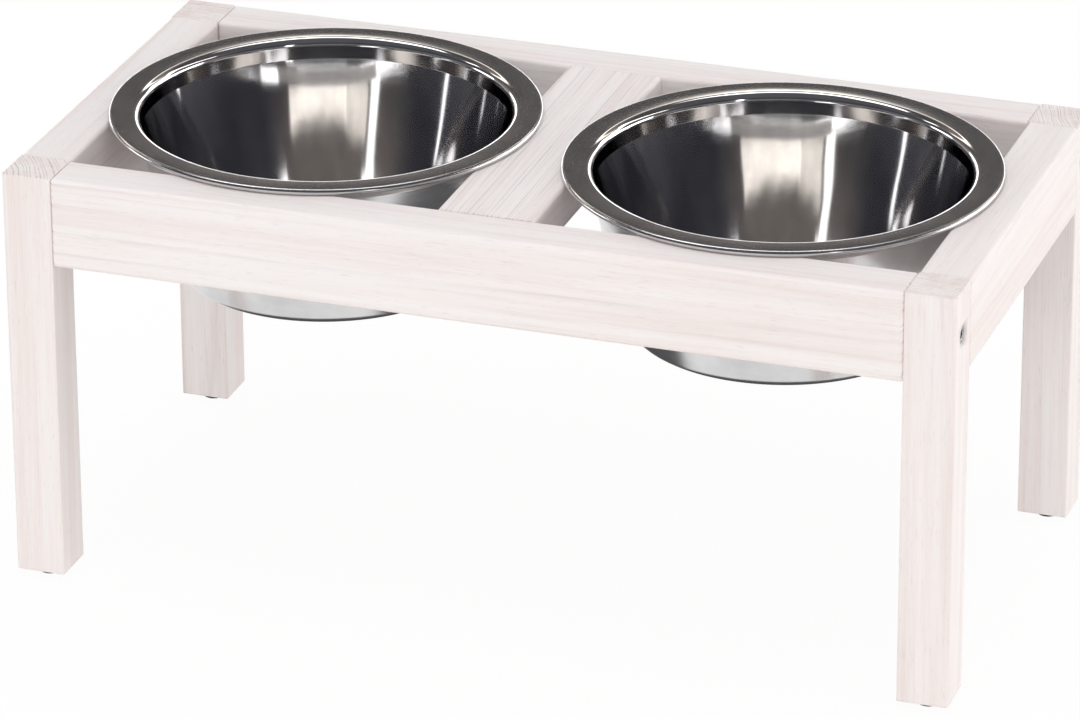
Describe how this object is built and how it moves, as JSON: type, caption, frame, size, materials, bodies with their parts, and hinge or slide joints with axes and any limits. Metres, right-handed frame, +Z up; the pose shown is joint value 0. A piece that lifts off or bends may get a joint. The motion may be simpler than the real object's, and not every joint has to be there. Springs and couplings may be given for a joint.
{
  "type": "dog feeder stand",
  "caption": "Low wooden stand on square legs with a flat crossbar between two round openings, each holding a lift-out flanged steel bowl for food or water.",
  "frame": {"origin": "on the floor, under the middle of the frame", "axes": "+X along the length, to the right of the pictured front; +Y to the back; +Z up, out of the bowls"},
  "size_m": [0.53, 0.272, 0.2436],
  "materials": {
    "whitewashed_pine": "pine with a thin white wash, matt, grain showing through",
    "polished_steel": "polished stainless steel, satin on the flange",
    "black_rubber": "matt",
    "zinc_plated_steel": "bright zinc plating",
    "beech": "bare turned wood"
  },
  "bodies": {
    "frame": {"front_left_leg": "whitewashed_pine", "front_right_leg": "whitewashed_pine", "back_left_leg": "whitewashed_pine", "back_right_leg": "whitewashed_pine", "left_end_rail": "whitewashed_pine", "right_end_rail": "whitewashed_pine", "front_rail": "whitewashed_pine", "back_rail": "whitewashed_pine", "center_crossbar": "whitewashed_pine", "front_left_foot": "black_rubber", "front_right_foot": "black_rubber", "back_left_foot": "black_rubber", "back_right_foot": "black_rubber", "foot_screws": "zinc_plated_steel", "connector_bolts": "zinc_plated_steel", "barrel_nuts": "zinc_plated_steel", "end_rail_dowels": "beech", "locating_dowels": "beech", "crossbar_dowels": "beech"},
    "left_bowl": {"left_bowl": "polished_steel"},
    "right_bowl": {"right_bowl": "polished_steel"}
  },
  "joints": [
    {"name": "left_bowl_lift", "type": "slide", "parent": "frame", "child": "left_bowl", "axis": [0, 0, 1], "range_m": [0, 0.11]},
    {"name": "right_bowl_lift", "type": "slide", "parent": "frame", "child": "right_bowl", "axis": [0, 0, 1], "range_m": [0, 0.11]}
  ]
}
